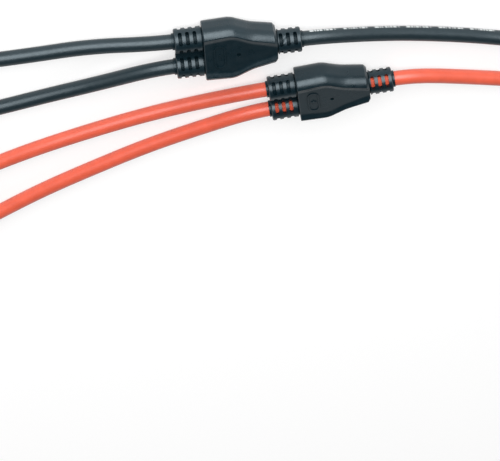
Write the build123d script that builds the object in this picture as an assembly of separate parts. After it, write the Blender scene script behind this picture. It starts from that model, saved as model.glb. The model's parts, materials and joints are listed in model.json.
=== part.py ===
"""A pair of moulded Y-branch leads for joining solar panels in parallel.

One lead is red and one is black. Each lead has a Y-shaped overmould, a crimped splice inside it, one trunk
cable, two branch cables, and a mating connector on the end of every cable. The red lead has two male
branches and a female trunk, and the black lead has two female branches and a male trunk.

Frame: +X runs from the red overmould's branches to its trunk, +Z is up, and the origin is the centre of
the red overmould's flat underside. Millimetres.
"""
from build123d import *
from math import asin, cos, degrees, pi, radians, sin, tan
import os

# ---- cable: single-core 4 mm2 solar cable
JACKET_R = 3.0
CORE_R = 1.3

# ---- Y overmould, in its own frame: X along the trunk, origin in the middle of the underside
BODY_LENGTH = 28.8
BODY_THICK = 13.0
BODY_UPPER_R = 4.8            # the rounding of the long upper and lower edges
BODY_LOWER_R = 5.0
BRANCH_OFFSET = 6.25          # each branch axis from the trunk's line
BODY_HALVES = ((-14.4, 12.5), (-2.8, 12.9), (4.8, 9.4), (14.4, 7.2))
BODY_CORNER_R = (9.0, 16.0)   # where the outline turns in, and where it turns back
TRUNK_END_CHAMFER = 1.0
BRANCH_END_ROUND = 0.5
PANEL_DEPTH = 1.2             # the top panel lies below the two rounded sides
PANEL_HALVES = ((-16.0, 6.8), (-2.6, 8.3), (4.0, 4.9), (16.0, 1.3))
PANEL_CORNER_R = (9.0, 16.0)
PANEL_WALL_SPREAD = 2.4       # the panel's walls lean out this much per unit of height
PANEL_FOOT_R = 3.0
PANEL_RIM_R = 0.6
GATE_R = 0.8
GATE_DEPTH = 0.7
GATE_X = -0.9
MARK_X = -8.4
MARK_SIZE = (4.6, 11.0)
MARK_LINE = 0.55
MARK_HEIGHT = 0.3
MARK_BAR = 2.2
BLACK_ROLL = -11.0            # the black overmould leans on one rounded side

# ---- strain-relief boots, moulded in one with the overmould
BOOT_R = 5.0
BRANCH_BOOT_LENGTH = 11.1
TRUNK_BOOT_LENGTH = 9.7
BOOT_GROOVE = (0.5, 0.6)      # width and depth of the groove between the body and a boot
BOOT_LIP_R = 3.35
BOOT_LIP_LENGTH = 0.9
SLOT_COUNT = 3
SLOT_ROWS = 4
SLOT_PITCH = 2.87
SLOT_WIDTH = 1.5
SLOT_FIRST = 2.3              # from the boot's outer end to the first slot's middle
SLOT_ARC = 66.0               # degrees round the boot, over the slot's round ends
BLIND_SLOT_R = 3.7            # the floor of the slots that stop short of the cable
BLIND_BOOT = "red_branch_a"
WEB_HALF_WIDTH = 1.9          # the web that joins the two branch boots
WEB_HALF_HEIGHT = 0.8

# ---- splice inside the overmould
SPLICE_R = 4.2
SPLICE_X = (-4.5, 5.5)
SPLICE_CORE_Y = 1.45          # the two branch cores lie side by side in the splice
JACKET_STOP = 9.5             # the jackets end this far from the overmould's middle
CORE_BEND_R = 4.0
CORE_TAIL = 2.2               # a core is straight for this far out of its jacket

# ---- connectors, in their own frame: +X out of the mouth, origin where the cable enters the cap nut
NUT_LENGTH = 20.0
NUT_R = 9.5
NUT_HOLE_R = 3.5
NUT_BORE_R = 7.65
NUT_CONE = ((2.4, 4.4), (9.0, 6.1))
NUT_FLUTES = 18
STUB_START = 9.4
STUB_R = 7.45
STUB_BORE_R = 5.6
STUB_RINGS = 5
CAGE_X = (3.0, 13.0)
CAGE_RING_X = 9.6
CAGE_R = 5.35
CAGE_BORE_R = 3.15
CAGE_TAIL_R = 4.0
CAGE_FINGERS = 8
SEAL_X = (13.4, 19.4)
SEAL_RIB_R = 5.6
SEAL_GROOVE_R = 5.1
JACKET_END_X = 20.4
CORE_END_X = 27.0
GRIP_X = (20.4, 34.0)
GRIP_R = 8.9
GRIP_FLAT = 7.9               # each grip flat from the axis
CONTACT_BARREL_X = (21.4, 29.0)
CONTACT_BARREL_R = 2.3
CONTACT_COLLAR_X = (29.0, 31.4)
CONTACT_COLLAR_R = 3.2

SHELL_END_X = 54.5            # the male shell's mouth
SHELL_R = 8.2
SHELL_BORE_R = 5.2
SHELL_FLOOR_X = 35.0
WINDOW_X = (43.5, 49.5)
WINDOW_HALF_HEIGHT = 2.6
PIN_R = 2.0
PIN_ROOT_R = 2.2              # where the pin passes through the housing's web
PIN_TIP_X = 49.0

NOSE_END_X = 52.0             # the female nose's mouth
NOSE_R = 5.0
SOCKET_OUTER_R = 2.9
SOCKET_BORE_R = 2.05
SOCKET_MOUTH_X = 50.5
SOCKET_FLOOR_X = 38.0
ORING_X = 36.6
ORING_WIRE_R = 0.8
ORING_GROOVE_R = 4.2
LATCH_X = (31.0, 51.0)
LATCH_INNER = 6.9             # a latch's inside face from the axis
LATCH_OUTER = 8.7
LATCH_HALF_HEIGHT = 2.3
LATCH_BARB = 1.0
LATCH_SLOT = 0.2              # gap round a latch's root

# ---- where things lie
AXIS_Z = BODY_THICK / 2
LIE_Z = JACKET_R + 0.1        # a cable's axis where it lies on the surface
PLUG_Z = NUT_R                # a connector's axis where its cap nut lies on the surface
BLACK_X = -34.1
BLACK_Y = 37.1
BLACK_YAW = -3.7
BLACK_LIFT = 1.48             # its middle is this much higher than if it lay flat

RED_POSE = Location((0, 0, 0))
BLACK_POSE = (Location((BLACK_X, BLACK_Y, AXIS_Z + BLACK_LIFT), (0, 0, BLACK_YAW))
              * Location((0, 0, 0), (BLACK_ROLL, 0, 0)) * Location((0, 0, -AXIS_Z)))

# ---- the free part of each cable's route: after its straight stretch in the boot, and before the straight
# ---- stretch in its connector. The cables lie on the surface and rise again to the connectors.
FIRST_BEND = 33.5             # the first bend from the overmould's middle, along the boot's axis
LAST_BEND = 13.0              # the last bend behind the cap nut
RISE_Z = 6.7                  # half way up from the surface to a connector
ROUTES = {
    "red_branch_a": [(-57.4, 1.7, 4.0), (-79.7, -2.3, LIE_Z), (-102.2, -6.9, LIE_Z),
                     (-123.5, -12.2, LIE_Z), (-144.4, -19.1, LIE_Z), (-167.5, -23.2, RISE_Z)],
    "red_branch_b": [(-56.9, -14.7, 4.0), (-78.2, -21.7, LIE_Z), (-100.2, -29.9, LIE_Z),
                     (-121.8, -38.6, LIE_Z), (-141.9, -48.7, LIE_Z), (-162.2, -55.4, RISE_Z)],
    "red_trunk": [(56.2, -10.0, 4.0), (77.1, -18.3, LIE_Z), (97.9, -24.9, LIE_Z), (121.2, -29.4, RISE_Z)],
    "black_branch_a": [(-92.3, 46.8, 4.0), (-116.0, 46.1, LIE_Z), (-139.8, 47.3, LIE_Z),
                       (-163.8, 50.7, LIE_Z), (-187.0, 55.2, LIE_Z), (-212.8, 58.7, RISE_Z)],
    "black_branch_b": [(-91.6, 24.5, 4.7), (-113.5, 20.1, LIE_Z), (-136.5, 16.9, LIE_Z),
                       (-159.3, 15.2, LIE_Z), (-181.4, 16.2, LIE_Z), (-206.2, 18.7, RISE_Z)],
    "black_trunk": [(25.4, 25.8, 4.2), (47.8, 18.2, LIE_Z), (68.5, 10.8, LIE_Z), (92.4, 4.8, RISE_Z)],
}
# Where each connector starts: x and y of the point where the cable enters its cap nut.
PLUG_STARTS = {
    "red_branch_a": (-219.5, -23.6),
    "red_branch_b": (-213.5, -56.6),
    "red_trunk": (169.5, -32.4),
    "black_branch_a": (-255.5, 60.8),
    "black_branch_b": (-254.5, 21.4),
    "black_trunk": (136.0, 1.1),
}
MALE = ("red_branch_a", "red_branch_b", "black_trunk")


# ---------------------------------------------------------------- helpers
def turned(*profile):
    """A solid turned about X from (x, radius) points."""
    return revolve(make_face(Polyline(*profile, close=True)), Axis.X)


def tube_x(start, end, radius):
    """A solid cylinder along X."""
    return turned((start, 0), (end, 0), (end, radius), (start, radius))


def block(x, y, z):
    """A box given by its (low, high) limits."""
    size = (x[1] - x[0], y[1] - y[0], z[1] - z[0])
    middle = ((x[0] + x[1]) / 2, (y[0] + y[1]) / 2, (z[0] + z[1]) / 2)
    return Pos(*middle) * Box(*size)


def side_of(cable):
    """+1 on a trunk, whose connector points along +X, and -1 on a branch."""
    return 1 if cable.endswith("trunk") else -1


def lead_pose(name):
    """Where a lead lies, from its own name or the name of one of its cables."""
    return RED_POSE if name.startswith("red") else BLACK_POSE


def boot_y(cable):
    """The cable's distance from the trunk line where it leaves the overmould."""
    return {"a": BRANCH_OFFSET, "b": -BRANCH_OFFSET}.get(cable[-1], 0.0)


# ---------------------------------------------------------------- cables
def corner_radii(points):
    """The largest arc at each corner: 0.45 of the shorter run over the tangent of half the turn."""
    radii = []
    for before, corner, after in zip(points, points[1:], points[2:]):
        run_in = Vector(*corner) - Vector(*before)
        run_out = Vector(*after) - Vector(*corner)
        half_turn = radians(run_in.get_angle(run_out)) / 2
        radii.append(0.45 * min(run_in.length, run_out.length) / tan(half_turn))
    return radii


def cable_points(cable):
    """The jacket's route, from its end inside the overmould to its end inside the connector."""
    side = side_of(cable)
    pose = lead_pose(cable)
    start = pose * Pos(side * JACKET_STOP, boot_y(cable), AXIS_Z)
    first = pose * Pos(side * FIRST_BEND, boot_y(cable), AXIS_Z)
    plug_x, plug_y = PLUG_STARTS[cable]
    last = (plug_x - side * LAST_BEND, plug_y, PLUG_Z)
    end = (plug_x + side * JACKET_END_X, plug_y, PLUG_Z)
    return [tuple(start.position), tuple(first.position), *ROUTES[cable], last, end]


def core_points(cable):
    """The core's route: a tail from the splice, the jacket's route, and a tail into the contact."""
    side = side_of(cable)
    pose = lead_pose(cable)
    inner_x = side * (JACKET_STOP - CORE_TAIL)
    y = boot_y(cable)
    tail = [(0.3 if side > 0 else -0.3, y and SPLICE_CORE_Y * y / abs(y), AXIS_Z)]
    if y:
        tail.append((-3.6, SPLICE_CORE_Y * y / abs(y), AXIS_Z))
        tail.append((inner_x, y, AXIS_Z))
    route = cable_points(cable)
    plug_x, plug_y = PLUG_STARTS[cable]
    tail = [tuple((pose * Pos(*point)).position) for point in tail]
    return tail + route[1:-1] + [(plug_x + side * CORE_END_X, plug_y, PLUG_Z)]


def swept(points, radii, outer, inner=0.0):
    """A round tube along straight runs joined by arcs."""
    path = FilletPolyline(*points, radius=radii)
    ring = Circle(outer) - Circle(inner) if inner else Circle(outer)
    return sweep(Plane(origin=path @ 0, z_dir=path % 0) * ring, path=path), path.length


def make_jacket(cable):
    points = cable_points(cable)
    radii = corner_radii(points)
    solid, length = swept(points, radii, JACKET_R, CORE_R)
    expected = pi * (JACKET_R ** 2 - CORE_R ** 2) * length
    runs = [(Vector(*b) - Vector(*a)).length for a, b in zip(points, points[1:])]
    print(f"{cable}: length {length:.1f}, volume ratio {solid.volume / expected:.4f}")
    print("   runs", " ".join(f"{run:.0f}" for run in runs), "  radii", " ".join(f"{r:.0f}" for r in radii))
    return solid


def make_core(cable):
    radii = corner_radii(cable_points(cable))
    if boot_y(cable):
        radii = [CORE_BEND_R, CORE_BEND_R, *radii]
    return swept(core_points(cable), radii, CORE_R)[0]


def cable_room(cable):
    """The whole space that a jacket and its core take."""
    points = cable_points(cable)
    return swept(points, corner_radii(points), JACKET_R)[0]


# ---------------------------------------------------------------- Y overmould
def tapered_outline(halves, corner_radii):
    """A plan as wide at one end as two tubes side by side and tapering to one, from its half widths."""
    side = FilletPolyline(*halves, radius=corner_radii)
    mirrored = mirror(side, Plane.XZ)
    ends = [Line((x, half), (x, -half)) for x, half in (halves[0], halves[-1])]
    return make_face([*side.edges(), *mirrored.edges(), *ends])


def panel_plan(height):
    """The recessed panel's outline at a height above its floor, open past both ends of the body."""
    halves = [(x, half + PANEL_WALL_SPREAD * height) for x, half in PANEL_HALVES]
    return Pos(0, 0, BODY_THICK - PANEL_DEPTH + height) * tapered_outline(halves, PANEL_CORNER_R)


def rounded_body():
    """The body block with its long edges and both its ends rounded over."""
    body = extrude(tapered_outline(BODY_HALVES, BODY_CORNER_R), BODY_THICK)
    for height, radius in ((BODY_THICK, BODY_UPPER_R), (0, BODY_LOWER_R)):
        level = body.edges().filter_by(lambda edge: abs(edge.center().Z - height) < 0.01)
        inner = level.filter_by(lambda edge: abs(abs(edge.center().X) - BODY_LENGTH / 2) > 0.1)
        body = fillet(inner, radius)
    body = chamfer(body.faces().sort_by(Axis.X)[-1].edges(), TRUNK_END_CHAMFER)
    return fillet(body.faces().sort_by(Axis.X)[0].edges(), BRANCH_END_ROUND)


def lengthwise_edges(body, low, high):
    """The edges that run along the body with their middles between two heights."""
    return body.edges().filter_by(
        lambda edge: low < edge.center().Z < high and edge.bounding_box().size.X > 1.2
        and edge.bounding_box().size.Z < 1.5)


def panelled_body():
    """The body with the recessed panel cut in its top, and the panel's foot and rim rounded."""
    floor = BODY_THICK - PANEL_DEPTH
    body = rounded_body() - loft([panel_plan(0), panel_plan(2 * PANEL_DEPTH)], ruled=True)
    body = fillet(lengthwise_edges(body, floor - 0.05, floor + 0.05), PANEL_FOOT_R)
    return fillet(lengthwise_edges(body, floor + PANEL_DEPTH / 3, BODY_THICK + 0.1), PANEL_RIM_R)


def slot(middle, floor_r):
    """One slot round a boot, from a floor radius outward, with half-round ends."""
    end_angle = SLOT_ARC / 2 - degrees(asin(SLOT_WIDTH / 2 / BOOT_R))
    low, high = middle - SLOT_WIDTH / 2, middle + SLOT_WIDTH / 2
    ring = turned((low, floor_r), (high, floor_r), (high, BOOT_R + 1), (low, BOOT_R + 1))
    reach = 2 * BOOT_R
    wedge_y, wedge_z = reach * sin(radians(end_angle)), reach * cos(radians(end_angle))
    sector = make_face(Polyline((0, 0), (wedge_z, -wedge_y), (wedge_z, wedge_y), close=True))
    cut = ring & extrude(Plane.YZ.offset(low - 1) * sector, SLOT_WIDTH + 2)
    height = BOOT_R + 1 - floor_r
    spoke = Pos(middle, floor_r + height / 2, 0) * Rot(X=90) * Cylinder(SLOT_WIDTH / 2, height)
    for angle in (-end_angle, end_angle):
        cut += Rot(X=angle) * spoke
    return cut


def boot(side, y, slot_floor):
    """One strain-relief boot, with rows of slots and a thin lip where the cable comes out."""
    length = TRUNK_BOOT_LENGTH if side > 0 else BRANCH_BOOT_LENGTH
    groove_width, groove_depth = BOOT_GROOVE
    face = side * BODY_LENGTH / 2
    root = face - side
    neck = face + side * groove_width
    outer = face + side * length
    lip = outer + side * BOOT_LIP_LENGTH
    edge = 0.35
    solid = turned((root, 0), (outer, 0), (outer, BOOT_R - edge), (outer - side * edge, BOOT_R), (neck, BOOT_R),
                   (neck, BOOT_R - groove_depth), (root, BOOT_R - groove_depth))
    solid += tube_x(min(outer, lip), max(outer, lip), BOOT_LIP_R)
    for index in range(SLOT_COUNT):
        cut = slot(outer - side * (SLOT_FIRST + index * SLOT_PITCH), slot_floor)
        for row in range(SLOT_ROWS):
            solid -= Rot(X=45 + row * 360 / SLOT_ROWS) * cut
    return Pos(0, y, AXIS_Z) * solid


def boot_web():
    """The thin web that joins the two branch boots."""
    x = (-BODY_LENGTH / 2 - BRANCH_BOOT_LENGTH, -BODY_LENGTH / 2 + 1)
    z = (AXIS_Z - WEB_HALF_HEIGHT, AXIS_Z + WEB_HALF_HEIGHT)
    return block(x, (-WEB_HALF_WIDTH, WEB_HALF_WIDTH), z)


def polarity_mark(is_plus):
    """A raised oblong ring with a plus or a minus sign in it."""
    floor = BODY_THICK - PANEL_DEPTH - 0.1
    width, length = MARK_SIZE
    flat = SlotOverall(length, width, rotation=90)
    flat -= SlotOverall(length - 2 * MARK_LINE, width - 2 * MARK_LINE, rotation=90)
    flat += Rectangle(MARK_LINE, MARK_BAR)
    if is_plus:
        flat += Rectangle(MARK_BAR, MARK_LINE)
    return Pos(MARK_X, 0, floor) * extrude(flat, MARK_HEIGHT + 0.1)


def make_overmould(lead, inside):
    """The overmould, moulded round the splice, the cores and the jackets."""
    floor = BODY_THICK - PANEL_DEPTH
    body = panelled_body()
    body -= Pos(GATE_X, 0, floor) * Cylinder(GATE_R, 2 * GATE_DEPTH)
    body += polarity_mark(lead == "red")
    for cable in [name for name in ROUTES if name.startswith(lead)]:
        body += boot(side_of(cable), boot_y(cable), BLIND_SLOT_R if cable == BLIND_BOOT else CORE_R)
    body += boot_web()
    body = lead_pose(lead) * body
    for solid in inside:
        body -= solid
    return body


def make_splice(lead, cores):
    """The crimped splice: a ring with the three cores in it."""
    solid = tube_x(*SPLICE_X, SPLICE_R)
    groove = turned((-1.2, SPLICE_R - 0.5), (1.8, SPLICE_R - 0.5), (1.8, SPLICE_R + 1), (-1.2, SPLICE_R + 1))
    solid = lead_pose(lead) * Pos(0, 0, AXIS_Z) * (solid - groove)
    for core in cores:
        solid -= core
    return solid


# ---------------------------------------------------------------- connector pieces, common to both kinds
def cap_nut():
    """The gland's cap nut, with a fluted grip outside and a cone inside that closes the clamp cage."""
    (cone_x0, cone_r0), (cone_x1, cone_r1) = NUT_CONE
    edge = 0.8
    nut = turned((0, NUT_HOLE_R), (cone_x0, NUT_HOLE_R), (cone_x0, cone_r0), (cone_x1, cone_r1),
                 (cone_x1, NUT_BORE_R), (NUT_LENGTH, NUT_BORE_R), (NUT_LENGTH, NUT_R - 0.3),
                 (NUT_LENGTH - 0.3, NUT_R), (2.6 * edge, NUT_R), (0, NUT_R - 1.6 * edge))
    flute = Pos(-1 + 17 / 2, 0, NUT_R + 0.45) * Rot(Y=90) * Cylinder(0.9, 17)
    for index in range(NUT_FLUTES):
        nut -= Rot(X=index * 360 / NUT_FLUTES) * flute
    return nut


def clamp_cage():
    """The clamp cage: a ring with tapered fingers that the cap nut's cone presses on the cable."""
    cage = turned((CAGE_X[0], CAGE_BORE_R), (CAGE_X[1], CAGE_BORE_R), (CAGE_X[1], CAGE_R),
                  (CAGE_RING_X - 1, CAGE_R), (CAGE_X[0], CAGE_TAIL_R))
    slit = block((CAGE_X[0] - 1, CAGE_RING_X), (-0.45, 0.45), (0, CAGE_R + 1))
    for index in range(CAGE_FINGERS):
        cage -= Rot(X=index * 360 / CAGE_FINGERS) * slit
    return cage


def cable_seal():
    """The rubber seal: a sleeve that fills the housing's rear bore round the jacket."""
    start, end = SEAL_X
    seal = turned((start, JACKET_R), (end, JACKET_R), (end, SEAL_RIB_R), (start, SEAL_RIB_R))
    for middle in (start + 1.7, end - 1.7):
        seal -= turned((middle - 0.5, SEAL_GROOVE_R), (middle + 0.5, SEAL_GROOVE_R),
                       (middle + 0.5, SEAL_RIB_R + 1), (middle - 0.5, SEAL_RIB_R + 1))
    return seal


def rear_housing():
    """The rear of either housing: a ringed stub that the cap nut fits over, and a grip with two flats."""
    stub = tube_x(STUB_START, GRIP_X[0] + 0.1, STUB_R)
    pitch = (NUT_LENGTH - STUB_START - 1) / STUB_RINGS
    for index in range(STUB_RINGS):
        middle = STUB_START + 1 + index * pitch
        stub -= turned((middle, STUB_R - 0.5), (middle + 0.6, STUB_R - 0.5),
                       (middle + 0.9, STUB_R + 1), (middle - 0.3, STUB_R + 1))
    edge = 0.6
    grip = turned((GRIP_X[0], 0), (GRIP_X[1], 0), (GRIP_X[1], GRIP_R - edge), (GRIP_X[1] - edge, GRIP_R),
                  (GRIP_X[0] + edge, GRIP_R), (GRIP_X[0], GRIP_R - edge))
    for sign in (-1, 1):
        flat = sorted((sign * GRIP_FLAT, sign * (GRIP_R + 1)))
        grip -= block((GRIP_X[0] + 2, GRIP_X[1] - 2), (-GRIP_R, GRIP_R), flat)
    housing = stub + grip
    housing -= tube_x(STUB_START - 1, SEAL_X[1], STUB_BORE_R)
    housing -= tube_x(SEAL_X[1] - 0.1, JACKET_END_X + 0.3, JACKET_R + 0.3)
    housing -= tube_x(JACKET_END_X, CONTACT_COLLAR_X[0], CONTACT_BARREL_R + 0.3)
    return housing - tube_x(CONTACT_COLLAR_X[0] - 0.1, CONTACT_COLLAR_X[1], CONTACT_COLLAR_R)


# ---------------------------------------------------------------- male connector
def male_housing():
    """The male housing: a round shell that the female nose goes into, with a latch window each side."""
    shell = turned((GRIP_X[1] - 0.1, 0), (SHELL_END_X, 0), (SHELL_END_X, SHELL_R - 0.5),
                   (SHELL_END_X - 0.5, SHELL_R), (GRIP_X[1] - 0.1, SHELL_R))
    housing = rear_housing() + shell
    housing -= tube_x(SHELL_FLOOR_X, SHELL_END_X + 1, SHELL_BORE_R)
    housing -= tube_x(CONTACT_COLLAR_X[1] - 0.1, SHELL_FLOOR_X + 0.1, PIN_ROOT_R)
    height = (-WINDOW_HALF_HEIGHT, WINDOW_HALF_HEIGHT)
    return housing - block(WINDOW_X, (-SHELL_R - 1, SHELL_R + 1), height)


def contact_pin():
    """The male contact: a crimp barrel, a retaining collar and a round pin."""
    return turned((CONTACT_BARREL_X[0], CORE_R), (CORE_END_X, CORE_R), (CORE_END_X, 0), (PIN_TIP_X, 0),
                  (PIN_TIP_X, PIN_R - 0.9), (PIN_TIP_X - 1.2, PIN_R), (SHELL_FLOOR_X, PIN_R),
                  (SHELL_FLOOR_X, PIN_ROOT_R), (CONTACT_COLLAR_X[1], PIN_ROOT_R),
                  (CONTACT_COLLAR_X[1], CONTACT_COLLAR_R), (CONTACT_COLLAR_X[0], CONTACT_COLLAR_R),
                  (CONTACT_BARREL_X[1], CONTACT_BARREL_R), (CONTACT_BARREL_X[0], CONTACT_BARREL_R))


# ---------------------------------------------------------------- female connector
def latch(sign):
    """One latch finger, which bends in at its root and carries a barb at its tip."""
    x0, x1 = LATCH_X
    barb = LATCH_OUTER + LATCH_BARB
    outline = [(x0, LATCH_INNER), (x1 - 0.8, LATCH_INNER), (x1, LATCH_INNER + 0.8), (x1 - 2.4, barb),
               (x1 - 3.6, barb), (x1 - 3.8, LATCH_OUTER), (x0, LATCH_OUTER)]
    finger = extrude(make_face(Polyline(*outline, close=True)), LATCH_HALF_HEIGHT, both=True)
    return finger if sign > 0 else mirror(finger, Plane.XZ)


def latch_slot(sign):
    """The room in the housing's grip for a latch's root."""
    x = (LATCH_X[0] - LATCH_SLOT, GRIP_X[1] + 1)
    y = sorted((sign * (LATCH_INNER - LATCH_SLOT), sign * (GRIP_R + 1)))
    z = (-LATCH_HALF_HEIGHT - LATCH_SLOT, LATCH_HALF_HEIGHT + LATCH_SLOT)
    return block(x, y, z)


def female_housing():
    """The female housing: a round nose with an O-ring groove, and room each side for a latch."""
    nose = turned((GRIP_X[1] - 0.1, 0), (NOSE_END_X, 0), (NOSE_END_X, NOSE_R - 0.6),
                  (NOSE_END_X - 0.6, NOSE_R), (GRIP_X[1] - 0.1, NOSE_R))
    housing = rear_housing() + nose
    housing -= tube_x(CONTACT_COLLAR_X[1] - 0.1, NOSE_END_X + 1, SOCKET_OUTER_R)
    half = ORING_WIRE_R
    housing -= turned((ORING_X - half, ORING_GROOVE_R), (ORING_X + half, ORING_GROOVE_R),
                      (ORING_X + half, NOSE_R + 1), (ORING_X - half, NOSE_R + 1))
    for sign in (-1, 1):
        housing -= latch_slot(sign)
    return housing


def nose_oring():
    """The O-ring round the nose."""
    section = Plane.XY * Pos(ORING_X, ORING_GROOVE_R + ORING_WIRE_R) * Circle(ORING_WIRE_R)
    return revolve(section, Axis.X)


def contact_socket():
    """The female contact: a crimp barrel, a retaining collar and a round socket."""
    return turned((CONTACT_BARREL_X[0], CORE_R), (CORE_END_X, CORE_R), (CORE_END_X, 0), (SOCKET_FLOOR_X, 0),
                  (SOCKET_FLOOR_X, SOCKET_BORE_R), (SOCKET_MOUTH_X, SOCKET_BORE_R),
                  (SOCKET_MOUTH_X, SOCKET_OUTER_R - 0.3), (SOCKET_MOUTH_X - 0.3, SOCKET_OUTER_R),
                  (CONTACT_COLLAR_X[1], SOCKET_OUTER_R), (CONTACT_COLLAR_X[1], CONTACT_COLLAR_R),
                  (CONTACT_COLLAR_X[0], CONTACT_COLLAR_R), (CONTACT_BARREL_X[1], CONTACT_BARREL_R),
                  (CONTACT_BARREL_X[0], CONTACT_BARREL_R))


# ---------------------------------------------------------------- assembly
def connector_pose(cable):
    x, y = PLUG_STARTS[cable]
    return Location((x, y, PLUG_Z), (0, 0, 0 if side_of(cable) > 0 else 180))


def make_connector(cable):
    """Every piece of one cable's connector, by node name."""
    pieces = {"cap_nut": cap_nut(), "clamp_cage": clamp_cage(), "cable_seal": cable_seal()}
    if cable in MALE:
        pieces["male_housing"] = male_housing()
        pieces["contact_pin"] = contact_pin()
    else:
        pieces["female_housing"] = female_housing()
        pieces["contact_socket"] = contact_socket()
        pieces["nose_oring"] = nose_oring()
        pieces["latch_left"] = latch(1)
        pieces["latch_right"] = latch(-1)
    pose = connector_pose(cable)
    return {f"{cable}_{name}": pose * solid for name, solid in pieces.items()}


def make_lead(lead):
    """Every piece of one lead, by node name."""
    cables = [cable for cable in ROUTES if cable.startswith(lead)]
    cores = {cable: make_core(cable) for cable in cables}
    jackets = {cable: make_jacket(cable) for cable in cables}
    splice = make_splice(lead, cores.values())
    inside = [*[cable_room(cable) for cable in cables], splice, *cores.values()]
    nodes = {f"{lead}_overmould": make_overmould(lead, inside), f"{lead}_splice": splice}
    for cable in cables:
        nodes[f"{cable}_core"] = cores[cable]
        nodes[f"{cable}_jacket"] = jackets[cable]
        nodes.update(make_connector(cable))
    return nodes


def main():
    os.makedirs("parts", exist_ok=True)
    nodes = {**make_lead("red"), **make_lead("black")}
    for name, solid in nodes.items():
        export_step(solid, f"parts/{name}.step")
    print(len(nodes), "nodes")


main()
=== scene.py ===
"""Looks for the pair of moulded Y-branch leads: cables, print, materials, floor, light and camera."""
import json
import math

import bpy
from mathutils import Matrix, Vector


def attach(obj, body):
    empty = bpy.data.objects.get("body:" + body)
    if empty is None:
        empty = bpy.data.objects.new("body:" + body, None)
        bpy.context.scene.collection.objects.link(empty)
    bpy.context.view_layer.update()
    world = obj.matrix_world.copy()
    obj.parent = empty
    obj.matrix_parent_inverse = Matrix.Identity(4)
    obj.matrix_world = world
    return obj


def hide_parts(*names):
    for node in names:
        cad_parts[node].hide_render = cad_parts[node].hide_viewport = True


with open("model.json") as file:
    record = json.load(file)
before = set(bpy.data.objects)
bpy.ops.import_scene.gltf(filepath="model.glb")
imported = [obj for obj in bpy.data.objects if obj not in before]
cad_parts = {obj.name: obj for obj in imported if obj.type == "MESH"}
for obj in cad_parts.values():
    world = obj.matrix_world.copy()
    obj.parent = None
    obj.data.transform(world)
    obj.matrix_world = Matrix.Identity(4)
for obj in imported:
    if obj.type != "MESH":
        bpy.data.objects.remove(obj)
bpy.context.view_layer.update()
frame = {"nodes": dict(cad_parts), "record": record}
NODES = frame["nodes"]
MM = 0.001

# ---- cables, in millimetres: the CAD model's routes, with two points more on each cable. BOOT_STRAIGHT and
# ---- NUT_STRAIGHT keep it straight through its boot and wherever its clamp cage slides.
CABLE_D = 6.0
BODY_MIDDLE_Z = 6.5
LIE_Z = 3.1
RISE_Z = 6.7
PLUG_Z = 9.5
JACKET_STOP = 9.5
FIRST_BEND = 33.5
LAST_BEND = 13.0
BOOT_STRAIGHT = 16.5
NUT_STRAIGHT = 3.0
JACKET_END = 20.4
CURVE_STEPS = 16
ROUND_STEPS = 10
BOOT_TIPS = {"branch": 26.4, "trunk": 25.0}
BRANCH_OFFSET = 6.25
BLACK_PLACE = (-34.1, 37.1, 7.98)
BLACK_YAW = math.radians(-3.7)
BLACK_ROLL = math.radians(-11.0)
ROUTES = {
    "red_branch_a": [(-57.4, 1.7, 4.0), (-79.7, -2.3, LIE_Z), (-102.2, -6.9, LIE_Z),
                     (-123.5, -12.2, LIE_Z), (-144.4, -19.1, LIE_Z), (-167.5, -23.2, RISE_Z)],
    "red_branch_b": [(-56.9, -14.7, 4.0), (-78.2, -21.7, LIE_Z), (-100.2, -29.9, LIE_Z),
                     (-121.8, -38.6, LIE_Z), (-141.9, -48.7, LIE_Z), (-162.2, -55.4, RISE_Z)],
    "red_trunk": [(56.2, -10.0, 4.0), (77.1, -18.3, LIE_Z), (97.9, -24.9, LIE_Z), (121.2, -29.4, RISE_Z)],
    "black_branch_a": [(-92.3, 46.8, 4.0), (-116.0, 46.1, LIE_Z), (-139.8, 47.3, LIE_Z),
                       (-163.8, 50.7, LIE_Z), (-187.0, 55.2, LIE_Z), (-212.8, 58.7, RISE_Z)],
    "black_branch_b": [(-91.6, 24.5, 4.7), (-113.5, 20.1, LIE_Z), (-136.5, 16.9, LIE_Z),
                       (-159.3, 15.2, LIE_Z), (-181.4, 16.2, LIE_Z), (-206.2, 18.7, RISE_Z)],
    "black_trunk": [(25.4, 25.8, 4.2), (47.8, 18.2, LIE_Z), (68.5, 10.8, LIE_Z), (92.4, 4.8, RISE_Z)],
}
PLUG_STARTS = {
    "red_branch_a": (-219.5, -23.6),
    "red_branch_b": (-213.5, -56.6),
    "red_trunk": (169.5, -32.4),
    "black_branch_a": (-255.5, 60.8),
    "black_branch_b": (-254.5, 21.4),
    "black_trunk": (136.0, 1.1),
}

# ---- the dashes printed along one cable, in millimetres along it and round it
PRINTED_CABLE = "black_trunk"
PRINT_START = 18.0
PRINT_END = 125.0
PRINT_DASHES = (1.5, 0.5, 0.5, 1.0, 0.5, 0.8, 1.3, 0.5)
PRINT_GAP = 0.5
PRINT_WORD_GAP = 3.2
PRINT_HEIGHT = 1.2
PRINT_ANGLE = math.radians(-22.0)
PRINT_THICK = 0.02
PRINT_COLUMNS = 5
PRINT_ROWS = 5
SAMPLES_PER_BEND = 60

# ---- camera: above the surface on the +Y side, with the picture turned half round
CAMERA_PLACE = Vector((-0.04169, 1.16738, 0.9498))
CAMERA_ELEVATION = math.radians(37.0)
CAMERA_ROLL = math.radians(9.2)
CAMERA_LENS = 270.0
CAMERA_SENSOR = 36.0
CAMERA_NEAR = 0.01

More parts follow.
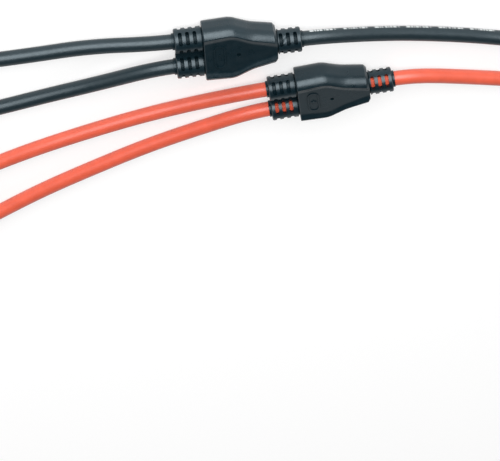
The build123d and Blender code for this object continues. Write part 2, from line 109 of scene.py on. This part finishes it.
# ---- light: one large soft box on the camera's side, in a room that is dark overhead
KEY_ELEVATION = 31.0
KEY_DISTANCE = 1.1
KEY_SIZE = 1.1
KEY_POWER = 24.0
SKY_LOW = (0.9, 0.9, 0.9)
SKY_HIGH = (0.02, 0.02, 0.02)
SKY_DIMS_FROM = 0.48
SKY_DARK_FROM = 0.84

# ---- floor: white, and lit a little from within so that it stays white under the dark room
FLOOR_HALF = 7.0
FLOOR_GREY = (0.46, 0.46, 0.46)
FLOOR_GLOW = 0.55

# ---- colours, and the painted shade that takes the gloss off grooves; its reach is in metres
OVERMOULD_BLACK = (0.003, 0.0095, 0.0135)
CONNECTOR_BLACK = (0.010, 0.011, 0.012)
SHEATH_RED = (0.52, 0.080, 0.042)
SHEATH_BLACK = (0.008, 0.015, 0.019)
SEAL_BLACK = (0.03, 0.03, 0.03)
COPPER = (0.86, 0.44, 0.26)
TIN = (0.78, 0.78, 0.76)
CAGE_GREY = (0.42, 0.42, 0.40)
INK_GREY = (0.52, 0.55, 0.55)
GLOSS_TINT = (0.80, 0.93, 1.0)
PAINTED_SHADE_REACH = 0.0025
SHADED_GROOVE_GLOSS = 0.05
UNSHADED_GLOSS = 0.5


# ---------------------------------------------------------------- camera
def make_camera():
    data = bpy.data.cameras.new("camera")
    data.lens = CAMERA_LENS
    data.sensor_width = CAMERA_SENSOR
    data.clip_start = CAMERA_NEAR
    camera = bpy.data.objects.new("camera", data)
    bpy.context.scene.collection.objects.link(camera)
    back = Vector((0, math.cos(CAMERA_ELEVATION), math.sin(CAMERA_ELEVATION)))
    level_up = Vector((0, math.sin(CAMERA_ELEVATION), -math.cos(CAMERA_ELEVATION)))
    level_right = Vector((1, 0, 0))
    right = math.cos(CAMERA_ROLL) * level_right - math.sin(CAMERA_ROLL) * level_up
    up = math.sin(CAMERA_ROLL) * level_right + math.cos(CAMERA_ROLL) * level_up
    turn = Matrix((right, up, back)).transposed()
    camera.matrix_world = Matrix.Translation(CAMERA_PLACE) @ turn.to_4x4()
    bpy.context.scene.camera = camera


# ---------------------------------------------------------------- materials
class Shader:
    """A material's node tree, with short calls for the nodes that the materials share."""

    def __init__(self, name):
        self.material = bpy.data.materials.new(name)
        self.material.use_nodes = True
        self.tree = self.material.node_tree
        self.surface = self.tree.nodes["Principled BSDF"]
        coordinates = self.tree.nodes.new("ShaderNodeTexCoord")
        self.place = coordinates.outputs["Object"]

    def add(self, kind, **values):
        node = self.tree.nodes.new(kind)
        for key, value in values.items():
            if key in node.inputs:
                node.inputs[key].default_value = value
            else:
                setattr(node, key, value)
        return node

    def join(self, output, node, socket):
        self.tree.links.new(output, node.inputs[socket])

    def noise(self, per_metre, detail=3.0, roughness=0.5, stretch=None):
        """Noise with a number of cells to the metre; stretch makes it finer along an axis."""
        node = self.add("ShaderNodeTexNoise", Scale=per_metre, Detail=detail, Roughness=roughness)
        place = self.place
        if stretch:
            mapping = self.add("ShaderNodeMapping", Scale=stretch)
            self.join(place, mapping, "Vector")
            place = mapping.outputs["Vector"]
        self.join(place, node, "Vector")
        return node.outputs["Fac"]

    def ramp(self, factor, low, high, start, end):
        """Goes from one colour to another while the factor goes from start to end."""
        node = self.add("ShaderNodeValToRGB")
        first, last = node.color_ramp.elements
        first.position, first.color = start, (*low, 1.0)
        last.position, last.color = end, (*high, 1.0)
        self.join(factor, node, "Fac")
        return node.outputs["Color"]

    def colour(self, factor, low, high, start=0.3, end=0.7):
        self.join(self.ramp(factor, low, high, start, end), self.surface, "Base Color")

    def roughness(self, factor, low, high):
        self.join(self.ramp(factor, (low,) * 3, (high,) * 3, 0.3, 0.7), self.surface, "Roughness")

    def paint_groove_shade(self):
        """Paints shade into grooves, slots and inside corners by taking the gloss off them."""
        openness = self.add("ShaderNodeAmbientOcclusion", Distance=PAINTED_SHADE_REACH, samples=8)
        gloss = self.ramp(openness.outputs["AO"], (SHADED_GROOVE_GLOSS,) * 3, (UNSHADED_GLOSS,) * 3, 0.35, 0.95)
        self.join(gloss, self.surface, "Specular IOR Level")

    def bump(self, layers):
        """Stacks bumps, each given as (height output, strength, distance in metres)."""
        normal = None
        for height, strength, distance in layers:
            node = self.add("ShaderNodeBump", Strength=strength, Distance=distance)
            self.join(height, node, "Height")
            if normal is not None:
                self.join(normal, node, "Normal")
            normal = node.outputs["Normal"]
        self.join(normal, self.surface, "Normal")

    def tint_gloss(self, colour):
        self.surface.inputs["Specular Tint"].default_value = (*colour, 1.0)


def varied(colour, share):
    """A colour made lighter or darker by a share."""
    return tuple(channel * (1 + share) for channel in colour)


def moulded_plastic(name, colour, rough, grain=1.0):
    """Satin moulded plastic: fine spark-eroded grain, faint flow marks, and painted shade in its grooves,
    where the gloss is taken off.
    """
    shader = Shader(name)
    flow_marks = shader.noise(90, 4.0, 0.6)
    handling = shader.noise(400)
    spark_grain = shader.noise(5200, 2.0, 0.6)
    ripples = shader.noise(700)
    shader.colour(flow_marks, varied(colour, -0.12), varied(colour, 0.12))
    shader.roughness(handling, rough - 0.05, rough + 0.07)
    shader.bump([(spark_grain, 0.22 * grain, 0.00006), (ripples, 0.18, 0.00008)])
    # painted shade: the gloss is taken off grooves, slots and inside corners
    shader.paint_groove_shade()
    shader.tint_gloss(GLOSS_TINT)
    return shader.material


def cable_jacket(name, colour, rough):
    """Extruded cable sheath: smooth and satin, with faint patches, fine grain and shallow dents."""
    shader = Shader(name)
    patches = shader.noise(160, 5.0, 0.62)
    handling = shader.noise(900, 4.0)
    fine_grain = shader.noise(2600, 3.0, 0.6)
    dents = shader.noise(260, 2.0)
    shader.colour(patches, varied(colour, -0.08), varied(colour, 0.08), end=0.72)
    shader.roughness(handling, rough - 0.05, rough + 0.08)
    shader.bump([(fine_grain, 0.14, 0.00005), (dents, 0.2, 0.00012)])
    # painted shade: the gloss is taken off grooves and the inside of slots
    shader.paint_groove_shade()
    shader.tint_gloss(GLOSS_TINT)
    return shader.material


def rubber(name, colour):
    """Seal rubber: matt, with a pale bloom in patches."""
    shader = Shader(name)
    bloom = shader.noise(500, 4.0)
    handling = shader.noise(1200)
    grain = shader.noise(3000)
    shader.colour(bloom, colour, varied(colour, 0.5), 0.35, 0.75)
    shader.roughness(handling, 0.6, 0.75)
    shader.bump([(grain, 0.2, 0.00005)])
    return shader.material


def bare_metal(name, colour, rough):
    """Copper or plated metal with fine turned lines across the part."""
    shader = Shader(name)
    turned_lines = shader.noise(900, stretch=(18.0, 1.0, 1.0))
    handling = shader.noise(800)
    shader.colour(turned_lines, varied(colour, -0.1), varied(colour, 0.06))
    shader.roughness(handling, rough - 0.06, rough + 0.1)
    shader.bump([(turned_lines, 0.15, 0.00004)])
    shader.surface.inputs["Metallic"].default_value = 1.0
    return shader.material


def print_ink(name, colour):
    """Ink-jet print on a cable: thin, chalky and broken into dots."""
    shader = Shader(name)
    dots = shader.noise(4200, 3.0, 0.7)
    chalk = shader.noise(2600)
    shader.colour(dots, varied(colour, -0.45), colour, 0.35, 0.6)
    shader.roughness(chalk, 0.55, 0.75)
    shader.bump([(dots, 0.15, 0.00003)])
    return shader.material


def white_floor(name):
    """A matt white surface that also glows a little."""
    shader = Shader(name)
    shader.surface.inputs["Base Color"].default_value = (*FLOOR_GREY, 1.0)
    shader.surface.inputs["Emission Color"].default_value = (1.0, 1.0, 1.0, 1.0)
    shader.surface.inputs["Emission Strength"].default_value = FLOOR_GLOW
    shader.surface.inputs["Roughness"].default_value = 0.9
    shader.surface.inputs["Specular IOR Level"].default_value = 0.1
    return shader.material


def make_materials():
    """Each material under the slot name that the record gives its nodes, and the print's."""
    return {
        "overmould": moulded_plastic("overmould_plastic", OVERMOULD_BLACK, 0.31),
        "connector_housing": moulded_plastic("connector_plastic", CONNECTOR_BLACK, 0.40, grain=1.3),
        "jacket_red": cable_jacket("red_sheath", SHEATH_RED, 0.34),
        "jacket_black": cable_jacket("black_sheath", SHEATH_BLACK, 0.34),
        "seal": rubber("seal_rubber", SEAL_BLACK),
        "core": bare_metal("copper_core", COPPER, 0.35),
        "contact": bare_metal("tinned_contact", TIN, 0.28),
        "clamp_cage": moulded_plastic("clamp_cage_plastic", CAGE_GREY, 0.5),
        "print": print_ink("print_ink", INK_GREY),
    }


def paint(piece, material):
    piece.data.materials.clear()
    piece.data.materials.append(material)


def paint_cad_nodes(materials):
    for subpart in frame["record"]["subparts"]:
        piece = NODES[subpart["node"]]
        paint(piece, materials[subpart["material_slot"]])
        for polygon in piece.data.polygons:
            polygon.material_index = 0


# ---------------------------------------------------------------- cables
def side_of(cable):
    """1 for a trunk, which leaves its overmould towards +X, and -1 for a branch."""
    return 1 if cable.endswith("trunk") else -1


def in_lead(cable, x, y):
    """A point on the middle plane of the cable's overmould, moved to where that overmould lies."""
    point = Vector((x, y, 0))
    if cable.startswith("red"):
        return point + Vector((0, 0, BODY_MIDDLE_Z))
    turn = Matrix.Rotation(BLACK_YAW, 3, "Z") @ Matrix.Rotation(BLACK_ROLL, 3, "X")
    return turn @ point + Vector(BLACK_PLACE)


def boot_y(cable):
    """How far the cable's boot is from its overmould's middle line."""
    return {"a": BRANCH_OFFSET, "b": -BRANCH_OFFSET}.get(cable[-1], 0.0)


def cable_points(cable):
    """The route's points, in millimetres, from inside the overmould to inside the connector."""
    side = side_of(cable)
    y = boot_y(cable)
    plug_x, plug_y = PLUG_STARTS[cable]
    in_boot = [in_lead(cable, side * x, y) for x in (JACKET_STOP, BOOT_STRAIGHT, FIRST_BEND)]
    in_plug = [Vector((plug_x + side * x, plug_y, PLUG_Z)) for x in (-LAST_BEND, NUT_STRAIGHT, JACKET_END)]
    return [*in_boot, *[Vector(point) for point in ROUTES[cable]], *in_plug]


def nurbs(name, points, depth):
    """A smooth curve whose control points are the route's points."""
    data = bpy.data.curves.new(name, "CURVE")
    data.dimensions = "3D"
    data.resolution_u = CURVE_STEPS
    data.bevel_depth = depth
    data.bevel_resolution = ROUND_STEPS
    spline = data.splines.new("NURBS")
    spline.points.add(len(points) - 1)
    for target, point in zip(spline.points, points):
        target.co = (*(point * MM), 1.0)
    spline.order_u = 3
    spline.use_endpoint_u = True
    curve = bpy.data.objects.new(name, data)
    bpy.context.scene.collection.objects.link(curve)
    return curve


def spline_samples(points):
    """Places and directions along the curve that nurbs() draws: a parabola between each two middles."""
    middles = [(a + b) / 2 for a, b in zip(points[1:], points[2:])]
    starts = [points[0], *middles[:-1]]
    ends = [*middles[:-1], points[-1]]
    samples = []
    for start, corner, end in zip(starts, points[1:-1], ends):
        for step in range(SAMPLES_PER_BEND):
            t = step / SAMPLES_PER_BEND
            place = (1 - t) ** 2 * start + 2 * t * (1 - t) * corner + t ** 2 * end
            heading = (1 - t) * (corner - start) + t * (end - corner)
            samples.append((place, heading.normalized()))
    return samples


def dashes():
    """Where each printed dash starts along the cable, and its length."""
    distance = PRINT_START
    count = 0
    while distance < PRINT_END:
        length = PRINT_DASHES[count % len(PRINT_DASHES)]
        yield distance, length
        count += 1
        ends_word = count % len(PRINT_DASHES) == 0
        distance += length + (PRINT_WORD_GAP if ends_word else PRINT_GAP)


def make_print(cable, materials):
    """Plain printed dashes along one side of a cable, each a thin patch that follows the cable."""
    samples = spline_samples(cable_points(cable))
    travelled = [0.0]
    for (before, _), (after, _) in zip(samples, samples[1:]):
        travelled.append(travelled[-1] + (after - before).length)

    def at(distance):
        index = next(i for i, length in enumerate(travelled) if length >= distance)
        return samples[index]

    spread = PRINT_HEIGHT / (CABLE_D / 2)
    angles = [PRINT_ANGLE + (row / (PRINT_ROWS - 1) - 0.5) * spread for row in range(PRINT_ROWS)]
    vertices, faces = [], []
    for start, length in dashes():
        first = len(vertices)
        for column in range(PRINT_COLUMNS):
            place, heading = at(start + length * column / (PRINT_COLUMNS - 1))
            level = Vector((-heading.y, heading.x, 0)).normalized()
            upward = heading.cross(level)
            for angle in angles:
                outward = level * math.cos(angle) + upward * math.sin(angle)
                vertices.append((place + outward * (CABLE_D / 2 + PRINT_THICK)) * MM)
        for column in range(PRINT_COLUMNS - 1):
            for row in range(PRINT_ROWS - 1):
                corner = first + column * PRINT_ROWS + row
                faces.append((corner, corner + PRINT_ROWS, corner + PRINT_ROWS + 1, corner + 1))
    lead = cable.split("_")[0]
    data = bpy.data.meshes.new("cable_print")
    data.from_pydata(vertices, [], faces)
    marks = bpy.data.objects.new("cable_print", data)
    bpy.context.scene.collection.objects.link(marks)
    paint(marks, materials["print"])
    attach(marks, f"{lead}_lead")
    return marks


def make_cable(cable, materials):
    """A cable's visible jacket in place of its CAD jacket, with the print on the printed cable."""
    lead, kind = cable.split("_")[:2]
    curve = nurbs(f"{cable}_cable", cable_points(cable), CABLE_D / 2 * MM)
    curve.data.use_fill_caps = True
    paint(curve, materials[f"jacket_{lead}"])
    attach(curve, f"{lead}_lead")
    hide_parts(f"{cable}_jacket")
    on_cable = [NODES[name] for name in NODES if name.startswith(cable) and not name.endswith("_jacket")]
    if cable == PRINTED_CABLE:
        on_cable.append(make_print(cable, materials))
    exit_point = in_lead(cable, side_of(cable) * BOOT_TIPS[kind], boot_y(cable)) * MM


# ---------------------------------------------------------------- floor and light
def make_floor():
    corners = [(x * FLOOR_HALF, y * FLOOR_HALF, 0) for x, y in ((-1, -1), (1, -1), (1, 1), (-1, 1))]
    data = bpy.data.meshes.new("floor")
    data.from_pydata(corners, [], [(0, 1, 2, 3)])
    floor = bpy.data.objects.new("floor", data)
    bpy.context.scene.collection.objects.link(floor)
    paint(floor, white_floor("floor_white"))


def make_key_light():
    """A large soft box, aimed at the origin from the +Y side."""
    elevation = math.radians(KEY_ELEVATION)
    towards = Vector((0, math.cos(elevation), math.sin(elevation)))
    data = bpy.data.lights.new("key", "AREA")
    data.shape = "SQUARE"
    data.size = KEY_SIZE
    data.energy = KEY_POWER
    light = bpy.data.objects.new("key", data)
    bpy.context.scene.collection.objects.link(light)
    light.location = towards * KEY_DISTANCE
    light.rotation_mode = "QUATERNION"
    light.rotation_quaternion = (-towards).to_track_quat("-Z", "Y")


def make_sky():
    """A dim room: paler near the horizon and dark overhead."""
    world = bpy.data.worlds.new("world")
    world.use_nodes = True
    tree = world.node_tree
    coordinates = tree.nodes.new("ShaderNodeTexCoord")
    split = tree.nodes.new("ShaderNodeSeparateXYZ")
    ramp = tree.nodes.new("ShaderNodeValToRGB")
    low, high = ramp.color_ramp.elements
    low.position, low.color = SKY_DIMS_FROM, (*SKY_LOW, 1)
    high.position, high.color = SKY_DARK_FROM, (*SKY_HIGH, 1)
    tree.links.new(coordinates.outputs["Generated"], split.inputs["Vector"])
    tree.links.new(split.outputs["Z"], ramp.inputs["Fac"])
    tree.links.new(ramp.outputs["Color"], tree.nodes["Background"].inputs["Color"])
    bpy.context.scene.world = world


# ---------------------------------------------------------------- assembly
make_camera()
materials = make_materials()
for cable_name in ROUTES:
    make_cable(cable_name, materials)
paint_cad_nodes(materials)
make_floor()
make_sky()
make_key_light()
bpy.context.scene.view_settings.view_transform = "Standard"
